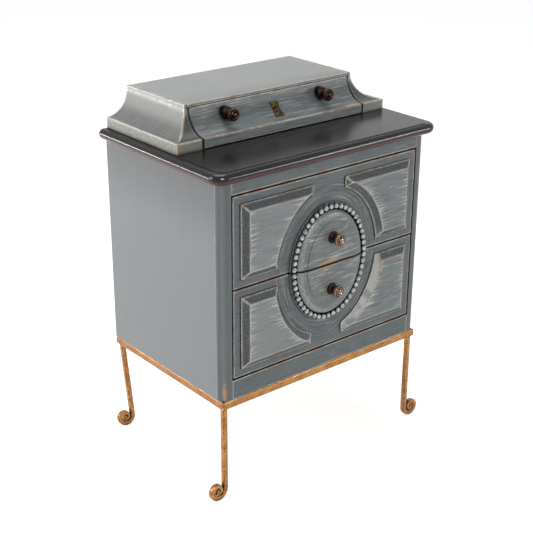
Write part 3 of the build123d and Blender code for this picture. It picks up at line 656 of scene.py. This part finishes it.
# %% Gold paint
def antique_gold():
    material, tree, place = new_material("antique gold paint on iron bar")
    cloud = marks(tree, place, (26, 26, 26), 0.35, 0.65, detail=5.0)
    flecks = marks(tree, place, (3, 3, 3), 0.52, 0.70, (2, 2, 2))
    dark_flecks = marks(tree, place, (4, 4, 5), 0.565, 0.64, (6, 3, 8))
    edge = arris(tree, 0.0050, 0.01, 0.07)
    bar_low, bar_high = (end.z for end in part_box("stand_front_bar"))
    # On the bars, the brown foot edge is painted shade and the light top edge a painted highlight.
    foot_edge = level(tree, place, "Z", bar_low + 0.0050, bar_low + 0.0020)
    on_bar = level(tree, place, "Z", bar_low - 0.0005, bar_low + 0.0005)
    top_edge = level(tree, place, "Z", bar_high - 0.0050, bar_high - 0.0015)
    # Bar faces that look to the left are browner: painted shade.
    left_face = facing(tree, "X", -0.5, -0.9)
    streaks = marks(tree, place, (60, 60, 4), 0.40, 0.60, (3, 3, 3))
    browned = marks(tree, place, (14, 14, 14), 0.36, 0.52, (4, 1, 5))
    rubbed_brown = marks(tree, place, (9, 9, 9), 0.42, 0.56, (1, 5, 5))
    rubbed_bright = marks(tree, place, (12, 12, 12), 0.54, 0.62, (8, 5, 5))
    turned = unsigned_normal(tree, "True Normal")
    squarest = add(tree, "ShaderNodeMath", {0: turned["X"], 1: turned["Y"]}, operation="MAXIMUM")
    squarest = add(tree, "ShaderNodeMath", {0: squarest, 1: turned["Z"]}, operation="MAXIMUM")
    rounding = add(tree, "ShaderNodeMapRange", {0: squarest, 1: 0.985, 2: 0.94})
    # The near black-brown in the corners, where bars meet, is painted shade.
    gold = coats(tree, "99622f", ("b98443", cloud), ("e0b673", flecks, 0.5),
                 ("5a3620", dark_flecks, 0.85),
                 ("8a5636", left_face, on_bar, 0.4),
                 ("7a4826", foot_edge, on_bar, streaks, 0.8), ("e9c485", top_edge, streaks, 0.7),
                 ("6b3d22", rounding, browned, 0.75), ("6d4326", edge, rubbed_brown, 0.8),
                 ("ecc98c", edge, rubbed_bright, 0.8),
                 ("2b170e", corner(tree, 0.010, 0.93, 0.45)))
    soft = add(tree, "ShaderNodeBevel", {"Radius": 0.0018}, samples=6)
    relief = add(tree, "ShaderNodeBump",
                 {"Strength": 0.35, "Distance": 0.0008, "Height": cloud, "Normal": soft})
    shader = add(tree, "ShaderNodeBsdfPrincipled",
                 {"Base Color": gold, "Roughness": 0.36, "Metallic": 0.65, "Normal": relief})
    add(tree, "ShaderNodeOutputMaterial", {0: shader})
    return material


gold = antique_gold()
print("stand:", gold.name)

# %% [markdown]
# ## Bronze, brass and steel
# The knobs are cast brass with a dark antique bronze finish, bright again where fingers
# touch the head. The keyhole plate is stamped brass, darkened. The screws are steel. All
# of them are bare metal, so they are fully metallic, and their colour is what they mirror.

# %% Small metals
def old_metal(name, dark, bright, rough, worn=0.5):
    """A darkened metal that is rubbed bright on its arrises, with painted shade in its grooves and
    corners.
    """
    material, tree, place = new_material(name)
    patches = marks(tree, place, (6, 6, 6), 0.40, 0.66, detail=3.0)
    tone = coats(tree, dark, (bright, patches, worn), (bright, arris(tree, 0.0015, 0.03, 0.2), 0.8),
                 ("0d0907", corner(tree, 0.005, 0.85, 0.3)))
    relief = add(tree, "ShaderNodeBump", {"Strength": 0.1, "Distance": 0.0002, "Height": patches})
    shader = add(tree, "ShaderNodeBsdfPrincipled",
                 {"Base Color": tone, "Roughness": rough, "Metallic": 1.0, "Normal": relief})
    add(tree, "ShaderNodeOutputMaterial", {0: shader})
    return material


bronze_head = old_metal("antique bronze, rubbed bright on the knob's head", "6f5b4f", "bda493", 0.27, 0.4)
bronze_dark = old_metal("antique bronze, left dark", "2c211b", "6f5b4e", 0.33, 0.3)
bronze_stem = old_metal("antique bronze, dark in the knob's neck", "1d1512", "43342a", 0.40)
brass = old_metal("darkened stamped brass", "16120e", "75633f", 0.38, 0.6)
steel = old_metal("zinc-plated steel screws", "8c8f92", "c9ccd0", 0.30)
print("finishes so far:", len(bpy.data.materials))

# %% [markdown]
# ## Dressing the CAD nodes
# Most boards keep their CAD shape and only get a better finish. The strokes run along
# each board: across the fronts, up the posts and the sides. The finish is chosen by the
# name of the node, because the names say what each piece is.

# %% Which finish each node gets
def finish_of(name):
    """The material of a CAD node, by what the piece is."""
    if name == "chest_top":
        return paint_cap
    if name.startswith("chest_end"):
        return paint_cove
    if name.startswith("case_side"):
        return paint_side
    if name.startswith("corner_post"):
        return paint_post
    if "panel_" in name:
        return paint_panel
    if name.endswith("medallion"):
        return paint_oval
    if name == "chest_drawer_front":
        return paint_box
    if name in ("case_back", "chest_back"):
        return case_wood_z if name == "case_back" else case_wood_x
    if name in ("case_bottom", "divider_rail"):
        return case_wood_x
    if "runner" in name or "kicker" in name:
        return case_wood_y
    if "drawer_side" in name or name.endswith("drawer_bottom"):
        return drawer_wood_y
    if name.endswith("drawer_back"):
        return drawer_wood_x
    if name == "top_board":
        return lacquer
    if name.startswith(("stand_", "scroll_leg")) and name != "stand_screws":
        return gold
    if "screw" in name:
        return steel
    if name.endswith("escutcheon"):
        return brass
    if "knob" in name:
        return bronze_head
    return paint_front


for name, node in nodes.items():
    node.data.materials.clear()
    node.data.materials.append(finish_of(name))
print("dressed", len(nodes), "nodes with", len({finish_of(n).name for n in nodes}), "finishes")

# %% [markdown]
# ## New pieces
# A few pieces want a finer shape than the CAD model has: the beads, the turned knobs and
# the forged legs. Each is made from a simple start with bmesh operators, stands in the
# place of its CAD node, and is parented to an empty named for its body. Smooth
# shading does for the round parts, and edges sharper than 40 degrees stay crisp.

# %% Keeping a new piece
def keep(bm, name, materials, body, replaced):
    """Turns a bmesh into a smooth piece that rides on a body and stands for CAD nodes."""
    bmesh.ops.recalc_face_normals(bm, faces=bm.faces)
    for face in bm.faces:
        face.smooth = True
    mesh = bpy.data.meshes.new(name)
    bm.to_mesh(mesh)
    bm.free()
    for material in materials:
        mesh.materials.append(material)
    mesh.set_sharp_from_angle(angle=math.radians(40))
    piece = bpy.data.objects.new(name, mesh)
    bpy.context.scene.collection.objects.link(piece)
    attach(piece, body)
    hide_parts(*replaced)
    print(name, len(mesh.polygons), "faces")


# %% [markdown]
# ## Turned knobs
# A knob is a lathe job, so its section is drawn as a few points, from the flange that lies
# on the drawer out to the button in the middle of the head, and spun once round its axis.
# The neck stays dark, and the head is rubbed bright, so the two get different finishes.
# Spinning a line is the same thing that a lathe does, and is exact all the way round. A
# cylinder cut into rings would need more steps for the same shape.

# %% Knob section and spin
# Each point is the distance from the axis and the distance from the drawer, in mm.
KNOB_SECTION = [
    (13.0, 0.0), (13.0, 2.2), (12.3, 3.1), (10.9, 3.5), (10.3, 4.6), (8.9, 5.2), (7.9, 7.5),
    (7.5, 10.5), (7.9, 13.5), (9.2, 15.9), (11.6, 17.0), (13.2, 17.9), (13.8, 19.3), (13.8, 22.0),
    (13.5, 23.6), (12.6, 24.6), (11.5, 24.7), (10.8, 23.4), (10.2, 22.6), (9.7, 23.6), (9.2, 25.6),
    (8.2, 26.3), (7.2, 25.9), (6.5, 24.6), (5.9, 24.2), (5.3, 25.4), (4.6, 27.2), (3.0, 27.9),
    (0.0, 28.0),
]
KNOB_HEAD_START = 16.5
KNOB_SIDES = 48


def turned_knob(bm, x, y, z, foot=0.0):
    """Spins a knob into a bmesh. Its flange lies at y, and a foot goes on behind it."""
    section = ([(KNOB_SECTION[0][0], -foot)] if foot else []) + KNOB_SECTION
    verts = [bm.verts.new((x + r * MM, y - reach * MM, z)) for r, reach in section]
    edges = [bm.edges.new(pair) for pair in zip(verts, verts[1:])]
    bmesh.ops.spin(bm, geom=verts + edges, cent=(x, y, z), axis=(0, 1, 0), angle=math.tau,
                   steps=KNOB_SIDES, use_merge=True)
    bmesh.ops.remove_doubles(bm, verts=bm.verts, dist=0.02 * MM)
    rims = [e for e in bm.edges if e.is_boundary]
    bmesh.ops.contextual_create(bm, geom=rims)
    for face in bm.faces:
        if y - face.calc_center_median().y > KNOB_HEAD_START * MM and face.material_index == 0:
            face.material_index = 1


for drawer in ("upper", "lower"):
    low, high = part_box(f"{drawer}_drawer_knob")
    bm = bmesh.new()
    turned_knob(bm, 0.0, high.y, (low.z + high.z) / 2)
    keep(bm, f"{drawer}_knob_turned", [bronze_stem, bronze_head], f"{drawer}_drawer",
         [f"{drawer}_drawer_knob"])

# %% [markdown]
# The two knobs of the coved drawer are the same turning. Their flange meets a hollow
# curve, so a foot behind it runs back until it is inside the wood all round.

# %% Knobs of the coved drawer
low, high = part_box("chest_drawer_knobs")
knob_radius = max(radius for radius, _ in KNOB_SECTION) * MM
knob_length = KNOB_SECTION[-1][1] * MM
foot = (high.y - low.y - knob_length) / MM
bm = bmesh.new()
for x in (low.x + knob_radius, high.x - knob_radius):
    turned_knob(bm, x, low.y + knob_length, (low.z + high.z) / 2, foot)
keep(bm, "chest_knobs_turned", [bronze_stem, bronze_dark], "chest_drawer",
     ["chest_drawer_knobs"])

# %% [markdown]
# ## The ring of beads
# The ring is a turned and carved moulding: a flat strip with half-round beads at even
# steps round an oval. The oval is sampled finely, and a bead is set wherever the length
# run so far passes the next step, because equal angles would crowd the beads at the ends
# of an oval. The strip is six ovals of points, joined in turn by bridging.

# %% Where the beads sit
oval_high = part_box("upper_drawer_medallion")[1]
front_y = oval_high.y
BEAD_INSET, BEAD_RADIUS, BEADS_IN_HALF, RIM_RISE = 7.5 * MM, 6.2 * MM, 25, 3.0 * MM
bead_wide = oval_high.x - BEAD_INSET
bead_tall = oval_high.z - split_z - BEAD_INSET
STEPS = 4000
angles = [math.pi * step / STEPS for step in range(STEPS + 1)]
points = [(bead_wide * math.cos(a), bead_tall * math.sin(a)) for a in angles]
lengths = [0.0]
for (x0, z0), (x1, z1) in zip(points, points[1:]):
    lengths.append(lengths[-1] + math.hypot(x1 - x0, z1 - z0))
pitch = lengths[-1] / BEADS_IN_HALF
bead_spots = [points[min(range(STEPS + 1), key=lambda i: abs(lengths[i] - (n + 0.5) * pitch))]
              for n in range(BEADS_IN_HALF)]
print("bead pitch:", round(pitch / MM, 2), "mm")


# %% Bead rings
def bead_ring(drawer):
    """Half of the strip and its beads, on the drawer's side of the split."""
    sign = 1 if drawer == "upper" else -1
    bm = bmesh.new()
    loops = []
    for reach, depth in ((4.2, 0.2), (4.2, 1.3), (3.4, 1.9), (-3.4, 1.9), (-4.2, 1.3), (-4.2, 0.2)):
        ring = bmesh.ops.create_circle(bm, segments=128, radius=1.0)["verts"]
        wide, tall = bead_wide + reach * MM, bead_tall + reach * MM
        for vert in ring:
            vert.co = (vert.co.x * wide, front_y - RIM_RISE - depth * MM, split_z + vert.co.y * tall)
        loops.append({edge for vert in ring for edge in vert.link_edges})
    for first, second in zip(loops, loops[1:] + loops[:1]):
        bmesh.ops.bridge_loops(bm, edges=list(first | second))
    edge_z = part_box(f"{drawer}_drawer_front")[0 if drawer == "upper" else 1].z
    cut = bmesh.ops.bisect_plane(bm, geom=bm.verts[:] + bm.edges[:] + bm.faces[:],
                                 plane_co=(0, 0, edge_z), plane_no=(0, 0, sign),
                                 clear_inner=True)["geom_cut"]
    bmesh.ops.holes_fill(bm, edges=[e for e in cut if isinstance(e, bmesh.types.BMEdge)])
    for x, z in bead_spots:
        place = Matrix.Translation((x, front_y - RIM_RISE - BEAD_RADIUS * 0.5, split_z + sign * z))
        bmesh.ops.create_uvsphere(bm, u_segments=20, v_segments=12, radius=BEAD_RADIUS, matrix=place)
    return bm


def bead_paint():
    """The paint on the beads: painted shade in the gaps, brushed nearly white on top."""
    material, tree, place = new_material("chalk paint on the beads")
    crown = front_y - RIM_RISE - 1.5 * BEAD_RADIUS
    crumbs = marks(tree, place, (4, 4, 4), 0.36, 0.52, detail=2.0)
    tone = coats(tree, "343b3f", ("8a9193", level(tree, place, "Y", crown + 0.0070, crown + 0.0020)),
                 ("f6f5f0", level(tree, place, "Y", crown + 0.0044, crown + 0.0012), crumbs),
                 ("0c0f11", corner(tree, 0.006, 0.8, 0.25)))
    shader = add(tree, "ShaderNodeBsdfPrincipled", {"Base Color": tone, "Roughness": 0.16, "IOR": 1.5})
    add(tree, "ShaderNodeOutputMaterial", {0: shader})
    return material


bead_finish = bead_paint()
for drawer in ("upper", "lower"):
    keep(bead_ring(drawer), f"{drawer}_bead_ring_carved", [bead_finish], f"{drawer}_drawer",
         [f"{drawer}_drawer_bead_ring"])

# %% [markdown]
# ## Forged legs
# A smith draws the end of a square bar down to a thin tip and rolls it up into a scroll.
# The same is done here: a small square with rounded corners stands at the top of the
# leg, is pushed down to the start of the scroll, and is then pushed on round a point in
# small steps, each a little nearer to that point and a little thinner. A button closes
# the eye of the scroll. A curve with a bevel would do the bar too, but not its thinning
# tip. The back legs lean inward, so their points are shifted sideways by height.

# %% One scroll leg
BAR, TIP = 11 * MM, 6.0                     # the bar's thickness, m, and the tip's, mm
START_RADIUS, PITCH = 20.5 * MM, 11.5 * MM  # the scroll where the leg meets it, and how it closes
TURNS, STEPS_IN_TURN = 1.35, 28
BACK_LEAN = 20 * MM


def scroll_frame(turn, eye_z):
    """The place, turn and thickness of the bar's section after some turns of scroll."""
    a = math.pi + math.tau * turn
    radius = START_RADIUS - PITCH * turn
    thin = 1 - (1 - TIP * MM / BAR) * turn / TURNS
    on_path = Vector((START_RADIUS + radius * math.cos(a), 0, eye_z + radius * math.sin(a)))
    turned = Matrix.Rotation(-math.tau * turn, 4, "Y")
    return Matrix.Translation(on_path) @ turned @ Matrix.Diagonal((thin, 1, 1, 1))


def forged_leg(top_z, lean):
    """A leg of the right side, at x and y 0. Its scroll curls outward, to +x."""
    turns = [TURNS * n / round(TURNS * STEPS_IN_TURN) for n in range(round(TURNS * STEPS_IN_TURN) + 1)]
    lows = [scroll_frame(t, 0) @ Vector((side * BAR / 2, 0, 0)) for t in turns for side in (-1, 1)]
    eye_z = -min(point.z for point in lows) - 0.3 * MM
    bm = bmesh.new()
    bmesh.ops.create_grid(bm, x_segments=1, y_segments=1, size=BAR / 2)
    bmesh.ops.bevel(bm, geom=bm.verts[:], offset=1.6 * MM, offset_type="OFFSET", affect="VERTICES",
                    segments=2, profile=0.5, material=-1)
    bmesh.ops.translate(bm, vec=(0, 0, top_z), verts=bm.verts)
    frames = [Matrix.Translation((0, 0, top_z))] + [scroll_frame(t, eye_z) for t in turns]
    end = bm.faces[:]
    for before, after in zip(frames, frames[1:]):
        grown = bmesh.ops.extrude_face_region(bm, geom=end)["geom"]
        verts = [item for item in grown if isinstance(item, bmesh.types.BMVert)]
        bmesh.ops.transform(bm, matrix=after @ before.inverted(), verts=verts)
        if end[0].calc_center_median().z < top_z - MM:
            bmesh.ops.delete(bm, geom=end, context="FACES_ONLY")
        end = [item for item in grown if isinstance(item, bmesh.types.BMFace)]
    add_button(bm, Vector((START_RADIUS, 0, eye_z)))
    for vert in bm.verts:
        vert.co.x -= lean * max(0.0, 1 - vert.co.z / top_z)
    cut = bmesh.ops.bisect_plane(bm, geom=bm.verts[:] + bm.edges[:] + bm.faces[:], plane_co=(0, 0, 0),
                                 plane_no=(0, 0, 1), clear_inner=True)["geom_cut"]
    bmesh.ops.holes_fill(bm, edges=[e for e in cut if isinstance(e, bmesh.types.BMEdge)])
    return bm


def add_button(bm, eye):
    """Closes the scroll: a thin web between the turns, and the rolled-up tip as a stub."""
    upright = Matrix.Translation(eye) @ Matrix.Rotation(math.pi / 2, 4, "X")
    bmesh.ops.create_cone(bm, cap_ends=True, segments=32, radius1=12.6 * MM, radius2=12.6 * MM,
                          depth=BAR * 0.62, matrix=upright)
    stub = bmesh.ops.create_cone(bm, cap_ends=True, segments=24, radius1=4.6 * MM, radius2=4.6 * MM,
                                 depth=BAR * 0.92, matrix=upright)
    caps = {face for vert in stub["verts"] for face in vert.link_faces if len(face.verts) > 4}
    for cap in caps:
        bmesh.ops.inset_individual(bm, faces=[cap], thickness=0.9 * MM, depth=0.4 * MM)
        bmesh.ops.inset_individual(bm, faces=[cap], thickness=0.8 * MM, depth=-1.2 * MM)
        bmesh.ops.inset_individual(bm, faces=[cap], thickness=0.6 * MM, depth=0.9 * MM)


# %% Four legs
leg_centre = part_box("scroll_leg_front_right")[0].x + BAR / 2
for row, lean in (("front", 0.0), ("back", BACK_LEAN)):
    for side, sign in (("left", -1), ("right", 1)):
        node = f"scroll_leg_{row}_{side}"
        low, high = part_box(node)
        bm = forged_leg(high.z, lean)
        bmesh.ops.translate(bm, vec=(leg_centre, (low.y + high.y) / 2, 0), verts=bm.verts)
        bmesh.ops.scale(bm, vec=(sign, 1, 1), verts=bm.verts)
        keep(bm, f"{node}_forged", [gold], "case", [node])
